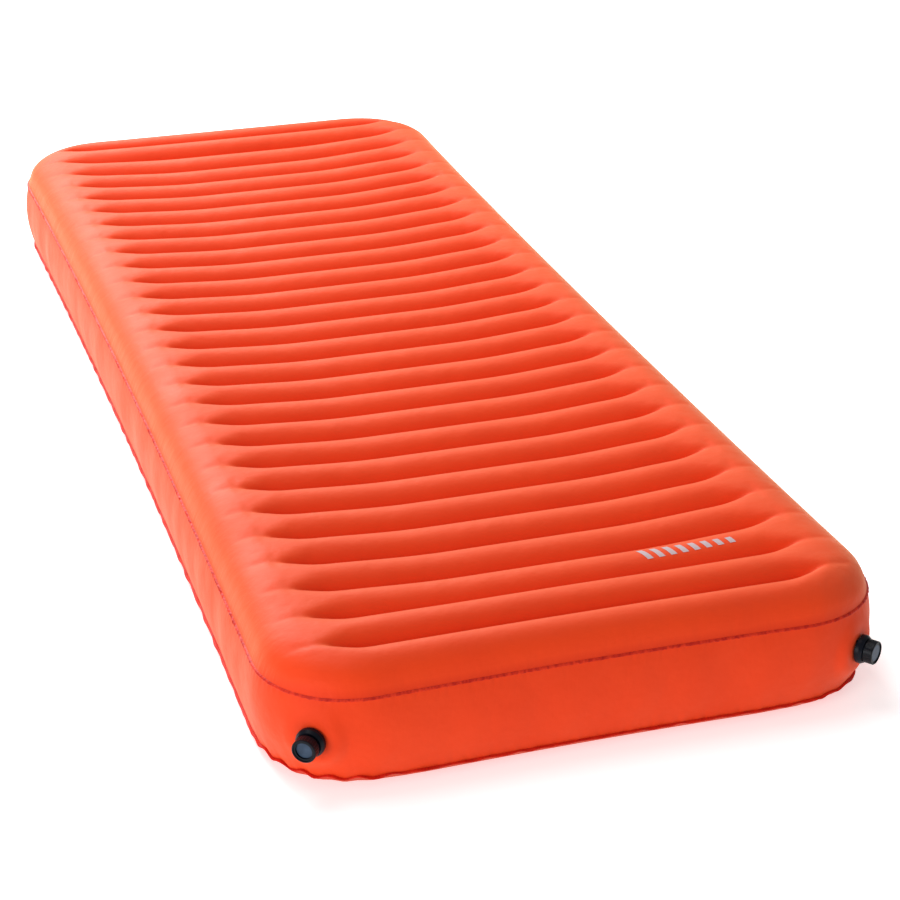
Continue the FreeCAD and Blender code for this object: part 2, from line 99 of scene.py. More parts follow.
def weld_plan(across, along):
    """Bend a rectangular grid's corners round, and bow its edges inwards.

    Returns the plan position and the distance in from the perimeter weld.
    """
    corner_radius = np.where(along > 0, head_radius, foot_radius)
    side = half_width - corner_radius
    end = half_length - corner_radius
    x, y = np.abs(across), np.abs(along)
    a = np.clip((x - side) / corner_radius, 0, 1)
    b = np.clip((y - end) / corner_radius, 0, 1)
    cornered = (a > 0) & (b > 0)
    round_x = np.where(cornered, side + corner_radius * a * np.sqrt(1 - b * b / 2), x)
    round_y = np.where(cornered, end + corner_radius * b * np.sqrt(1 - a * a / 2), y)
    from_centre = np.hypot(round_x - side, round_y - end)
    inward = np.where(cornered, corner_radius - from_centre,
                      np.minimum(half_width - round_x, half_length - round_y))
    side_in = side_bow * (1 - (round_y / half_length) ** 2) * (round_x / half_width) ** 2
    end_in = np.where(along > 0, head_bow, foot_bow)
    end_in = end_in * (1 - (round_x / half_width) ** 2) * (round_y / half_length) ** 6
    plan = np.stack([np.sign(across) * (round_x - side_in),
                     np.sign(along) * (round_y - end_in)], -1)
    return plan, np.clip(inward, 0, None)


def rows_along(steps_in_tube, steps_in_rail):
    """Grid lines from foot to head, with one on every baffle, closer near it."""
    rail = np.linspace(-half_length, baffle_lines[0], steps_in_rail + 1)
    swing = np.linspace(-1, 1, steps_in_tube + 1)[:-1]
    spread = np.sin(swing * 1.15) / np.sin(1.15)
    rows = list(rail[:-1])
    for line in baffle_lines[:-1]:
        rows += list(line + pitch / 2 + spread * pitch / 2)
    rows += [baffle_lines[-1]] + list(-rail[:-1][::-1])
    return np.array(rows)


half_columns = np.concatenate([
    np.linspace(0, 0.200, 11),
    np.linspace(0.200, weld_end, 12)[1:],
    np.linspace(weld_end, half_width, 15)[1:],
])
columns = np.concatenate([-half_columns[::-1], half_columns[1:]])
rows = rows_along(10, 11)
weld_rows = [int(np.argmin(np.abs(rows - line))) for line in baffle_lines]
flat_x, flat_y = np.meshgrid(columns, rows)
top_plan, top_inward = weld_plan(flat_x, flat_y)

# How far up each point of the sheet stands: the tubes dish in the middle, and
# the grooves between them climb towards their ends and die out on the rim.
from_middle = np.abs(flat_x)
near_end = ease(np.abs(flat_y), rail_start, rail_end)
rise = 1 - (1 - ease(from_middle, 0.10, 0.30)) * (1 - near_end)
crest = middle_crest + (rim_height - middle_crest) * rise
groove = middle_groove + groove_climb * ease(from_middle, 0.14, weld_end)
groove = groove + end_groove_climb * near_end * (1 - ease(from_middle, 0.14, weld_end))
crest = crest + head_climb * ease(flat_y, rail_start, rail_end)
reach = pitch / 2 * (1 - 0.50 * ease(from_middle, narrow_start, fade_end))
depth = np.minimum(crest - groove, 0.85 * reach)
tube_radius = (reach ** 2 + depth ** 2) / (2 * depth)
from_weld = np.min(np.abs(flat_y[..., None] - baffle_lines), axis=-1)
to_crest = reach - np.minimum(from_weld, reach)
dip = tube_radius - np.sqrt(tube_radius ** 2 - to_crest ** 2)
fading = 1 - ease(from_middle, weld_end - 0.024, fade_end)
rim = np.sqrt(1 - (1 - np.clip(top_inward / rim_curve, 0, 1)) ** 2)
top_z = top_weld_height + (crest - top_weld_height) * rim - dip * fading
crease_fade = (ease(from_middle, weld_end - 0.01, weld_end + 0.01)
               * (1 - ease(from_middle, half_width - 0.045, half_width - 0.022)))
top_z = top_z - crease_depth * crease_fade * np.exp(-(from_weld / crease_width) ** 2)
top_points = np.concatenate([top_plan, top_z[..., None]], -1)


def grid_faces(row_count, column_count, closed=False):
    """Corner indices of a grid's four-sided faces; closed joins its two sides."""
    index = np.arange(row_count * column_count).reshape(row_count, column_count)
    if closed:
        index = np.concatenate([index, index[:, :1]], axis=1)
    corners = [index[:-1, :-1], index[:-1, 1:], index[1:, 1:], index[1:, :-1]]
    return np.stack(corners, -1).reshape(-1, 4)


def swell(points, columns_tied, rows_tied, foot, steps=25, largest_move=0.014):
    """Blow the sheet up with the cloth solver, held at its edge and its baffles.

    Each baffle is a row of threads, from the sheet down to fixed feet.
    """
    row_count, column_count = points.shape[:2]
    index = np.arange(row_count * column_count).reshape(row_count, column_count)
    vertices = [tuple(point) for point in points.reshape(-1, 3)]
    feet, threads = [], []
    for row in rows_tied:
        for column in columns_tied:
            feet.append(len(vertices))
            threads.append((int(index[row, column]), len(vertices)))
            vertices.append((points[row, column, 0], points[row, column, 1], foot))
    mesh = bpy.data.meshes.new("swelling")
    mesh.from_pydata(vertices, threads, grid_faces(row_count, column_count).tolist())
    cloth = bpy.data.objects.new("swelling", mesh)
    bpy.context.scene.collection.objects.link(cloth)

    edge = np.zeros((row_count, column_count), bool)
    edge[[0, -1]] = True
    edge[:, [0, -1]] = True
    held = cloth.vertex_groups.new(name="held")
    held.add([int(i) for i in index[edge]] + feet, 1.0, "ADD")

    solver = cloth.modifiers.new("swell", "CLOTH")
    settings = solver.settings
    settings.quality = 6
    settings.mass = 0.3
    settings.tension_stiffness = 60
    settings.compression_stiffness = 20
    settings.shear_stiffness = 8
    settings.bending_stiffness = 0.05
    settings.tension_damping = 15
    settings.compression_damping = 15
    settings.shear_damping = 15
    settings.air_damping = 5
    settings.use_pressure = True
    settings.uniform_pressure_force = 6
    settings.effector_weights.gravity = 0
    settings.vertex_group_mass = "held"
    solver.collision_settings.use_collision = False
    solver.collision_settings.use_self_collision = False
    solver.point_cache.frame_start = 1
    solver.point_cache.frame_end = steps + 1
    for step in range(1, steps + 1):
        bpy.context.scene.frame_set(step)
    shown = cloth.evaluated_get(bpy.context.evaluated_depsgraph_get()).data
    swollen = np.array([vertex.co for vertex in shown.vertices])
    bpy.context.scene.frame_set(1)
    bpy.data.objects.remove(cloth)
    bpy.data.meshes.remove(mesh)
    swollen = swollen[:row_count * column_count].reshape(points.shape)
    move = swollen - points
    far = np.linalg.norm(move, axis=-1, keepdims=True)
    return points + move * np.minimum(1, largest_move / np.maximum(far, 1e-9))


tied_columns = np.where(from_middle[0] <= weld_end + 1e-6)[0]
top_points = swell(top_points, tied_columns, weld_rows, baffle_foot)


def closed_weld_line(spacing):
    """The perimeter weld in plan, as evenly spaced points, with its normals.

    It starts in the middle of the head end and runs round anticlockwise.
    """
    head = top_plan[-1, ::-1]
    middle = len(columns) // 2
    loop = np.concatenate([head[middle:-1], top_plan[::-1, 0][:-1], top_plan[0, :-1],
                           top_plan[:-1, -1], head[:middle + 1]])
    lengths = np.linalg.norm(np.diff(loop, axis=0), axis=1)
    travelled = np.concatenate([[0], np.cumsum(lengths)])
    count = int(travelled[-1] / spacing)
    stops = np.arange(count) * travelled[-1] / count
    line = np.stack([np.interp(stops, travelled, loop[:, i]) for i in (0, 1)], -1)
    window = range(-4, 5)
    line = sum(np.roll(line, shift, axis=0) for shift in window) / len(window)
    heading = np.roll(line, -1, axis=0) - np.roll(line, 1, axis=0)
    heading = heading / np.linalg.norm(heading, axis=1, keepdims=True)
    outward = np.stack([heading[:, 1], -heading[:, 0]], -1)
    return line, outward, stops, travelled[-1]


weld_line, weld_out, weld_stops, weld_length = closed_weld_line(0.0025)


def nearest_weld(plan):
    """For each point of the plan, the number of the nearest weld point."""
    flat = plan.reshape(-1, 2)
    nearest = np.empty(len(flat), int)
    for first in range(0, len(flat), 2000):
        gap = flat[first:first + 2000, None] - weld_line[None, ::2]
        nearest[first:first + 2000] = 2 * np.argmin((gap ** 2).sum(-1), axis=1)
    return nearest.reshape(plan.shape[:2])


def cloth_piece(name, points, flat, weld, closed=False):
    """A grid of points as a smooth mesh.

    flat is each point's place on the cut panel, and weld its distance along
    and in from the perimeter weld; both are in metres and kept as UV maps.
    """
    row_count, column_count = points.shape[:2]
    mesh = bpy.data.meshes.new(name)
    mesh.from_pydata([tuple(point) for point in points.reshape(-1, 3)], [],
                     grid_faces(row_count, column_count, closed).tolist())
    corners = grid_faces(*flat.shape[:2]).reshape(-1)
    for layer, values in (("flat_pattern", flat), ("from_weld", weld)):
        data = mesh.uv_layers.new(name=layer).data
        data.foreach_set("uv", values.reshape(-1, 2)[corners].reshape(-1))
    mesh.polygons.foreach_set("use_smooth", [True] * len(mesh.polygons))
    piece = bpy.data.objects.new(name, mesh)
    bpy.context.scene.collection.objects.link(piece)
    return piece


def finish_piece(piece, body, slot, *nodes):
    """The piece moves with a body and stands for its CAD nodes; slot is not used."""
    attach(piece, body)
    if nodes:
        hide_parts(*nodes)


top_flat = np.stack([flat_x, flat_y], -1)
top_weld = np.stack([weld_stops[nearest_weld(top_plan)], top_inward], -1)
top_sheet = cloth_piece("top_sheet_cloth", top_points, top_flat, top_weld)

# The baffle welds are creases that subdivision must not round away.
grid_index = np.arange(len(rows) * len(columns)).reshape(len(rows), len(columns))
crease = top_sheet.data.attributes.new("crease_edge", "FLOAT", "EDGE")
creased_rows = np.full(len(rows) * len(columns), -1)
for row in weld_rows:
    creased_rows[grid_index[row][from_middle[0] < weld_end - 0.002]] = row
for edge in top_sheet.data.edges:
    first, last = (creased_rows[vertex] for vertex in edge.vertices)
    if first >= 0 and first == last:
        crease.data[edge.index].value = 0.8
smoothing = top_sheet.modifiers.new("smooth", "SUBSURF")
smoothing.levels = 1
smoothing.render_levels = 1


def paint(code):
    """An sRGB hex colour as the linear one that shaders use."""
    parts = [int(code[i:i + 2], 16) / 255 for i in (1, 3, 5)]
    return tuple(part / 12.92 if part <= 0.04045 else ((part + 0.055) / 1.055) ** 2.4
                 for part in parts) + (1.0,)


def add(tree, kind, sockets=(), **settings):
    """Add a shader node, set its properties, and set or link its sockets."""
    made = tree.nodes.new("ShaderNode" + kind)
    for name, value in settings.items():
        setattr(made, name, value)
    for socket, value in dict(sockets).items():
        if isinstance(value, bpy.types.NodeSocket):
            tree.links.new(value, made.inputs[socket])
        else:
            made.inputs[socket].default_value = value
    return made


def material(name, **constants):
    """A new material with these constants on its shader's own sockets."""
    made = bpy.data.materials.new(name)
    made.use_nodes = True
    shader = made.node_tree.nodes["Principled BSDF"]
    for socket, value in constants.items():
        shader.inputs[socket.replace("_", " ")].default_value = value
    return made, made.node_tree, shader


def laminated_nylon(name, cloth, deep, sheen, weave=0.0016):
    """Plain-woven nylon with a urethane film: satin, with faint slack puckers.

    sheen is how strongly the film glows yellow where it is seen at a slant.
    Real threads are about 0.2 mm apart; they are drawn 1.6 mm apart here,
    because finer ones would not show at all.
    """
    made, tree, shader = material(name, Roughness=0.5, IOR=1.5, Sheen_Weight=sheen,
                                  Sheen_Roughness=0.5, Specular_IOR_Level=0.12)
    shader.inputs["Sheen Tint"].default_value = paint("#FFE0A0")
    flat = add(tree, "UVMap", uv_map="flat_pattern").outputs["UV"]
    weld = add(tree, "UVMap", uv_map="from_weld").outputs["UV"]
    inward = add(tree, "SeparateXYZ", {0: weld}).outputs["Y"]

    # One wave of the texture is pi / 10 of its unit.
    threads = math.pi / 10 / weave
    warp = add(tree, "TexWave", {"Vector": flat, "Scale": threads, "Distortion": 0.4,
                                 "Detail": 1.0}, bands_direction="X").outputs["Fac"]
    weft = add(tree, "TexWave", {"Vector": flat, "Scale": threads, "Distortion": 0.4,
                                 "Detail": 1.0}, bands_direction="Y").outputs["Fac"]
    cross = add(tree, "Math", {0: warp, 1: weft}, operation="MAXIMUM").outputs[0]
    woven = add(tree, "Bump", {"Height": cross, "Strength": 0.22,
                               "Distance": 0.0002}).outputs[0]

    # Slack in the skin: soft dents about 25 mm across.
    slack = add(tree, "TexNoise", {"Vector": flat, "Scale": 38.0, "Detail": 3.0,
                                   "Roughness": 0.5}).outputs["Fac"]
    dented = add(tree, "Bump", {"Height": slack, "Strength": 0.35, "Distance": 0.0035,
                                "Normal": woven}).outputs[0]

    # Short gathers beside the weld, about 6 mm apart, gone 9 mm from it.
    gather_size = add(tree, "Mapping", {"Vector": weld, "Scale": (165, 22, 1)})
    gathers = add(tree, "TexNoise", {"Vector": gather_size.outputs[0], "Scale": 1.0,
                                     "Detail": 1.0}).outputs["Fac"]
    beside = add(tree, "MapRange", {0: inward, 1: 0.0, 2: 0.009, 3: 1.0, 4: 0.0},
                 interpolation_type="SMOOTHSTEP").outputs[0]
    gathered = add(tree, "Math", {0: gathers, 1: beside}, operation="MULTIPLY").outputs[0]
    puckered = add(tree, "Bump", {"Height": gathered, "Strength": 0.15,
                                  "Distance": 0.0025, "Normal": dented}).outputs[0]
    tree.links.new(puckered, shader.inputs["Normal"])

    # The film takes the dye a little unevenly.  Within 4 mm of the perimeter weld it is
    # painted darker: partly the welded film's deeper colour, partly painted seam shade.
    uneven = add(tree, "TexNoise", {"Vector": flat, "Scale": 9.0, "Detail": 5.0,
                                    "Roughness": 0.6}).outputs["Fac"]
    patchy = add(tree, "MapRange", {0: uneven, 1: 0.35, 2: 0.75, 3: 0.0, 4: 0.35})
    seam_shade = add(tree, "MapRange", {0: inward, 1: 0.0, 2: 0.004, 3: 0.7, 4: 0.0})
    darker = add(tree, "Math", {0: patchy.outputs[0], 1: seam_shade.outputs[0]},
                 operation="MAXIMUM").outputs[0]
    dyed = add(tree, "Mix", {0: darker, 6: paint(cloth), 7: paint(deep)},
               data_type="RGBA").outputs[2]
    tree.links.new(dyed, shader.inputs["Base Color"])
    satin = add(tree, "MapRange", {0: uneven, 1: 0.3, 2: 0.7, 3: 0.50, 4: 0.62})
    tree.links.new(satin.outputs[0], shader.inputs["Roughness"])
    return made


top_cloth = laminated_nylon("orange_laminated_nylon", "#E83E12", "#D8300E", 0.34)
top_sheet.data.materials.append(top_cloth)
finish_piece(top_sheet, "pad", "shell_fabric", "top_sheet")

# =============================================================== side wall
# A tall strip of the same laminated nylon between the top and bottom sheets,
# welded to both all the way round.  Pressure bows it outwards, and it is
# drawn in a little round each valve, which is welded to it from inside.
wall_low, wall_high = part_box("side_wall")
bottom_weld_height = wall_low.z
wall_bulge = wall_high.x - half_width
wall_rows = 21


def ripple(stops, length, seed, spread=0.35, waves=7):
    """A smooth uneven wave round the closed weld, mostly between -1 and 1."""
    draw = np.random.default_rng(seed)
    total = np.zeros(len(stops))
    for _ in range(waves):
        turns = max(1, round(weld_length / (length * (1 + spread * draw.uniform(-1, 1)))))
        total += np.sin(2 * math.pi * (turns * stops / weld_length + draw.uniform()))
    return total / math.sqrt(waves)


up = np.linspace(0, 1, wall_rows)
up = 0.5 - 0.5 * np.cos(math.pi * up) * (0.6 + 0.4 * np.cos(math.pi * up) ** 2)
wall_z = bottom_weld_height + (top_weld_height - bottom_weld_height) * up
arch = 1 - (2 * up - 1) ** 2
top_gap = (top_weld_height - wall_z)[:, None]
bottom_gap = (wall_z - bottom_weld_height)[:, None]
bulge = wall_bulge * arch[:, None] * (1 + 0.10 * ripple(weld_stops, 0.16, 3)[None])
bulge = bulge + 0.0004 * arch[:, None] * ripple(weld_stops, 0.075, 5)[None]
bulge = bulge + 0.0004 * (np.exp(-(top_gap / 0.006) ** 1.5) * ripple(weld_stops, 0.0105, 7)
                          + np.exp(-(bottom_gap / 0.010) ** 1.5)
                          * ripple(weld_stops, 0.016, 9)) * (arch[:, None] > 0)

# The bottom sheet is cut a little smaller, most of all at the corners, where
# the spare length of the weld makes it wave up and down.
at_corner = (ease(np.abs(weld_line[:, 0]), 0.19, 0.30)
             * ease(np.abs(weld_line[:, 1]), 0.84, 0.93))
tuck = 0.002 + 0.006 * at_corner
wall_out = bulge - tuck[None] * ((1 - up) ** 2)[:, None]
corner_wave = 0.0017 * at_corner * ripple(weld_stops, 0.036, 19, spread=0.10, waves=3)

wall_points = np.empty((wall_rows, len(weld_line), 3))
wall_points[..., :2] = weld_line[None] + weld_out[None] * wall_out[..., None]
wall_points[..., 2] = wall_z[:, None] + corner_wave * ((1 - up) ** 4)[:, None]

# Where the two valves come through: the axis of each and its inner end.
valve_axes = {}
for joint in frame["record"]["behaviour"]["joints"]:
    if joint["type"] == "hinge":
        side = joint["name"].split("_")[0]
        low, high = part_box(f"{side}_valve_flange")
        valve_axes[side] = (np.array((low + high) / 2), np.array(joint["axis"], float))

valve_hole = 0.0125
cut = np.zeros(wall_points.shape[:2], bool)
for centre, axis in valve_axes.values():
    offset = wall_points - centre
    outwards = offset @ axis
    aside = offset - outwards[..., None] * axis
    radius = np.linalg.norm(aside, axis=-1)
    near = (radius < 0.075) & (outwards > -0.05)
    # Pinched where the flange grips it, and proud in a ring just outside that.
    drawn_in = (-0.0012 * np.exp(-((radius - 0.020) / 0.006) ** 2)
                + 0.0016 * np.exp(-((radius - 0.034) / 0.010) ** 2))
    wall_points = wall_points + np.where(near, drawn_in, 0)[..., None] * axis
    flat_by = (1 - ease(radius, 0.024, 0.040)) * near
    short = np.maximum(0.0014 - (wall_points - centre) @ axis, 0)
    wall_points = wall_points + (short * flat_by)[..., None] * axis
    ring = near & (radius < 0.0150)
    cut |= near & (radius < 0.0100)
    outwards = (wall_points - centre) @ axis
    pushed = centre + outwards[..., None] * axis + aside / np.maximum(
        radius, 1e-9)[..., None] * valve_hole
    wall_points = np.where((ring & ~cut)[..., None], pushed, wall_points)

wall_flat = np.empty((wall_rows, len(weld_line) + 1, 2))
wall_flat[..., 0] = np.append(weld_stops, weld_length)[None]
wall_flat[..., 1] = wall_z[:, None]
wall_weld = wall_flat.copy()
wall_weld[..., 1] = np.minimum(top_gap, bottom_gap)
side_wall = cloth_piece("side_wall_cloth", wall_points, wall_flat, wall_weld, closed=True)


def drop_faces(piece, unwanted):
    """Take out the faces that use any vertex marked as unwanted."""
    mesh = piece.data
    keep = [not any(unwanted[i] for i in face.vertices) for face in mesh.polygons]
    shape = bmesh.new()
    shape.from_mesh(mesh)
    gone = [face for face, kept in zip(shape.faces, keep) if not kept]
    bmesh.ops.delete(shape, geom=gone, context="FACES")
    shape.to_mesh(mesh)
    shape.free()


drop_faces(side_wall, cut.reshape(-1))
# The wall's copy of the cloth is painted a little darker, with less sheen, than the top's:
# painted shade, so that the wall looks less lit than the top.
shaded_wall_cloth = laminated_nylon("orange_laminated_nylon_wall_shaded", "#E43E14", "#D6300E", 0.15)
side_wall.data.materials.append(shaded_wall_cloth)
finish_piece(side_wall, "pad", "shell_fabric", "side_wall")

# ============================================================ bottom sheet
# The lower face: the same cloth, welded to the same baffles.  The pad's
# weight flattens its tubes on the floor into stripes, with a shallow groove
# at each baffle and a short curve up to the perimeter weld.
bottom_rows = rows_along(8, 8)
bottom_x, bottom_y = np.meshgrid(columns, bottom_rows)
bottom_plan, bottom_inward = weld_plan(bottom_x, bottom_y)
bottom_groove = baffle_foot - 0.0016
rim_in = np.clip(bottom_inward / 0.026, 0, 1)
rim_up = bottom_weld_height * (1 - np.sqrt(1 - (1 - rim_in) ** 2))
from_baffle = np.min(np.abs(bottom_y[..., None] - baffle_lines), axis=-1)
stripe_up = bottom_groove * np.clip(1 - from_baffle / 0.022, 0, 1) ** 1.4
stripe_up = stripe_up * (1 - ease(np.abs(bottom_x), weld_end - 0.004, weld_end + 0.022))
bottom_nearest = nearest_weld(bottom_plan)
edge_wave = corner_wave[bottom_nearest] * (1 - ease(bottom_inward, 0.0, 0.015))
bottom_z = np.maximum(rim_up, stripe_up) + edge_wave

tuck_in = tuck[bottom_nearest] * (1 - ease(bottom_inward, 0.0, 0.05))
bottom_plan = bottom_plan - weld_out[bottom_nearest] * tuck_in[..., None]
bottom_points = np.concatenate([bottom_plan, bottom_z[..., None]], -1)[:, ::-1]
bottom_flat = np.stack([bottom_x, bottom_y], -1)[:, ::-1]
bottom_weld = np.stack([weld_stops[bottom_nearest], bottom_inward], -1)[:, ::-1]
bottom_sheet = cloth_piece("bottom_sheet_cloth", bottom_points, bottom_flat, bottom_weld)
# The bottom's copy of the cloth is painted a darker red than the top's: painted shade of
# the underside, seen as the dark band along its edge.
bottom_sheet.data.materials.append(laminated_nylon(
    "laminated_nylon_base_painted_shade", "#CC2812", "#BC1E0E", 0.15))
finish_piece(bottom_sheet, "pad", "shell_fabric", "bottom_sheet")

# ========================================================= perimeter welds
# The flat margin left outside each perimeter weld, where two edges of cloth
# were pressed together between heated bars.  It is trimmed a few millimetres
# wide, and the stiff margin waves.
def weld_margin(name, line, height, width, wave, rag, thickness=0.0009):
    """A thin flat strip round the weld.

    wave is how far its outer edge is lifted, and rag how uneven its width is.
    """
    # Each corner's share of the width outwards, and of the thickness upwards;
    # the first and last stand a little inside the weld, so that no gap shows.
    section = [(-0.0012, -0.5), (0.25, -0.5), (0.6, -0.5), (0.93, -0.5), (1.0, -0.2),
               (1.0, 0.2), (0.93, 0.5), (0.6, 0.5), (0.25, 0.5), (-0.0012, 0.5)]
    points = np.empty((len(section), len(weld_line), 3))
    for row, (out, side_up) in enumerate(section):
        overhang = out if out < 0 else out * (width + rag)
        lift = wave * max(out, 0) ** 1.3
        points[row, :, :2] = line + weld_out * np.broadcast_to(
            overhang, len(weld_line))[:, None]
        points[row, :, 2] = height + side_up * thickness + lift
    flat = np.empty((len(section), len(weld_line) + 1, 2))
    flat[..., 0] = np.append(weld_stops, weld_length)[None]
    flat[..., 1] = np.linspace(0, 2 * width, len(section))[:, None]
    return cloth_piece(name, points[::-1], flat, flat, closed=True)


def welded_film(name, cloth, deep, patch):
    """Two layers of cloth melted together: dull, and marked by the hot bar.

    The bar's grid of small squares is drawn 2 mm apart.  patch is the size of the
    lighter and darker patches; on the top margin they are painted highlights and shade
    standing in for its small puckers.
    """
    made, tree, shader = material(name, Roughness=0.5, IOR=1.5, Specular_IOR_Level=0.2)
    flat = add(tree, "UVMap", uv_map="flat_pattern").outputs["UV"]
    marks = add(tree, "TexWave", {"Vector": flat, "Scale": math.pi / 10 / 0.002},
                bands_direction="DIAGONAL").outputs["Fac"]
    rough = add(tree, "TexNoise", {"Vector": flat, "Scale": 240.0, "Detail": 3.0})
    height = add(tree, "Math", {0: marks, 1: rough.outputs["Fac"]}, operation="ADD")
    pressed = add(tree, "Bump", {"Height": height.outputs[0], "Strength": 0.5,
                                 "Distance": 0.0004})
    tree.links.new(pressed.outputs[0], shader.inputs["Normal"])
    # Painted light and shade in patches; on the top margin they stand in for its puckers.
    shade = add(tree, "TexNoise", {"Vector": flat, "Scale": 1 / patch, "Detail": 2.0})
    patchy = add(tree, "MapRange", {0: shade.outputs["Fac"], 1: 0.35, 2: 0.65})
    dyed = add(tree, "Mix", {0: patchy.outputs[0], 6: paint(cloth), 7: paint(deep)},
               data_type="RGBA").outputs[2]
    tree.links.new(dyed, shader.inputs["Base Color"])
    return made


# Both films are painted darker than the cloth they are welded from: painted shade of the
# margins, which lie in the seam's shadow.
shaded_top_film = welded_film("orange_welded_film", "#DC3416", "#B41A0C", 0.007)
shaded_bottom_film = welded_film("red_welded_film", "#DA2A14", "#C41C10", 0.017)
# The top margin lies down against the wall at the ends, and puckers at the sides.
at_end = ease(np.abs(weld_line[:, 1]), rail_start, rail_end)
top_wave = (0.0017 * (1 - 0.8 * at_end) * ripple(weld_stops, 0.009, 11)
            - 0.0020 * at_end)
top_margin = weld_margin("top_weld_margin", weld_line, top_weld_height, 0.0028, top_wave,
                         0.0003 * ripple(weld_stops, 0.008, 15))

# Along the sides the bottom margin is tucked down out of sight.
bottom_wave = (0.0005 * ripple(weld_stops, 0.030, 17) - 0.0050 * (1 - at_end)
               - 0.0010 * at_end)
bottom_line = weld_line - weld_out * tuck[:, None]
bottom_margin = weld_margin("bottom_weld_margin", bottom_line,
                            bottom_weld_height + corner_wave, 0.0036, bottom_wave,
                            0.0006 * ripple(weld_stops, 0.05, 21)
                            + 0.0006 * at_corner * ripple(weld_stops, 0.036, 23, waves=3)
                            - 0.0010 * (1 - at_end))
for margin, node, film in ((top_margin, "top_seam", shaded_top_film),
                           (bottom_margin, "bottom_seam", shaded_bottom_film)):
    margin.data.materials.append(film)
    finish_piece(margin, "pad", "seam_weld", node)

# ================================================================= baffles
# Thin webs of cloth inside the pad, one across it at each groove, welded to
# both sheets.  They hold the sheets parallel against the air pressure.
web_film, web_tree, web_shader = material("natural_coated_web", Roughness=0.6, IOR=1.5,
                                          Sheen_Weight=0.2)
web_place = add(web_tree, "UVMap", uv_map="flat_pattern").outputs["UV"]
web_threads = add(web_tree, "TexWave", {"Vector": web_place, "Distortion": 0.3,
                                        "Scale": math.pi / 10 / 0.002},
                  bands_direction="DIAGONAL").outputs["Fac"]
web_bump = add(web_tree, "Bump", {"Height": web_threads, "Strength": 0.3,
                                  "Distance": 0.0002})
web_tree.links.new(web_bump.outputs[0], web_shader.inputs["Normal"])
web_tone = add(web_tree, "Mix", {0: web_threads, 6: paint("#E8D8C4"),
                                 7: paint("#DCC8B0")}, data_type="RGBA").outputs[2]
web_tree.links.new(web_tone, web_shader.inputs["Base Color"])

web_rows = 7
for number, row in enumerate(weld_rows, start=1):
    upper = top_points[row, tied_columns]
    lower = np.stack([upper[:, 0], np.full(len(upper), baffle_lines[number - 1]),
                      np.full(len(upper), bottom_groove)], -1)
    share = np.linspace(0, 1, web_rows)[:, None, None]
    web_points = lower[None] * (1 - share) + upper[None] * share
    web_points[..., 2] = np.clip(web_points[..., 2], bottom_groove + 0.0004, None)
    web_flat = np.stack([web_points[..., 0], web_points[..., 2]], -1)
    web = cloth_piece(f"baffle_web_{number:02d}", web_points, web_flat, web_flat)
    cloth_depth = web.modifiers.new("cloth", "SOLIDIFY")
    cloth_depth.thickness = 0.0004
    cloth_depth.offset = 0
    web.data.materials.append(web_film)
    finish_piece(web, "pad", "baffle_fabric", f"baffle_{number:02d}")

# ============================================================ printed mark
# A plain emblem in silver-grey ink, screen-printed on one of the tubes near
# the foot end: a row of slanting bars that get shorter.  The ink is a thin
# film that follows the cloth.
surface = top_sheet.evaluated_get(bpy.context.evaluated_depsgraph_get()).to_mesh()
top_tree = BVHTree.FromPolygons([vertex.co.copy() for vertex in surface.vertices],
                                [tuple(face.vertices) for face in surface.polygons])
ink_lift = 0.0003
mark_y = (baffle_lines[1] + baffle_lines[2]) / 2
bar_count = 8
bar_width = 0.0075
mark_points, mark_faces = [], []
for bar in range(bar_count):
    bar_start = 0.114 + 2 * bar_width * bar
    bar_columns = np.linspace(bar_start, bar_start + bar_width, 5)
    bar_rows = np.linspace(-0.0105, 0.0105 - 0.0015 * bar, 9)
    first = len(mark_points)
    for row_y in bar_rows:
        for bar_x in bar_columns:
            above = Vector((bar_x - 0.35 * row_y, mark_y + row_y, 0.3))
            hit, normal, _, _ = top_tree.ray_cast(above, Vector((0, 0, -1)))
            mark_points.append(tuple(hit + normal * ink_lift))
    mark_faces += (grid_faces(len(bar_rows), len(bar_columns)) + first).tolist()
mark_mesh = bpy.data.meshes.new("printed_mark")
mark_mesh.from_pydata(mark_points, [], mark_faces)
mark_mesh.polygons.foreach_set("use_smooth", [True] * len(mark_mesh.polygons))
printed_mark = bpy.data.objects.new("printed_mark", mark_mesh)
bpy.context.scene.collection.objects.link(printed_mark)
ink, ink_tree, ink_shader = material("silver_grey_screen_ink", Roughness=0.45)
ink_place = add(ink_tree, "TexCoord").outputs["Object"]
ink_spread = add(ink_tree, "TexNoise", {"Vector": ink_place, "Scale": 300.0,
                                        "Detail": 3.0}).outputs["Fac"]
ink_tone = add(ink_tree, "Mix", {0: ink_spread, 6: paint("#B9A3A8"),
                                 7: paint("#CBB8BC")}, data_type="RGBA").outputs[2]
ink_tree.links.new(ink_tone, ink_shader.inputs["Base Color"])
ink_bump = add(ink_tree, "Bump", {"Height": ink_spread, "Strength": 0.3,
                                  "Distance": 0.0003})
ink_tree.links.new(ink_bump.outputs[0], ink_shader.inputs["Normal"])
mark_mesh.materials.append(ink)
finish_piece(printed_mark, "pad", "shell_fabric")

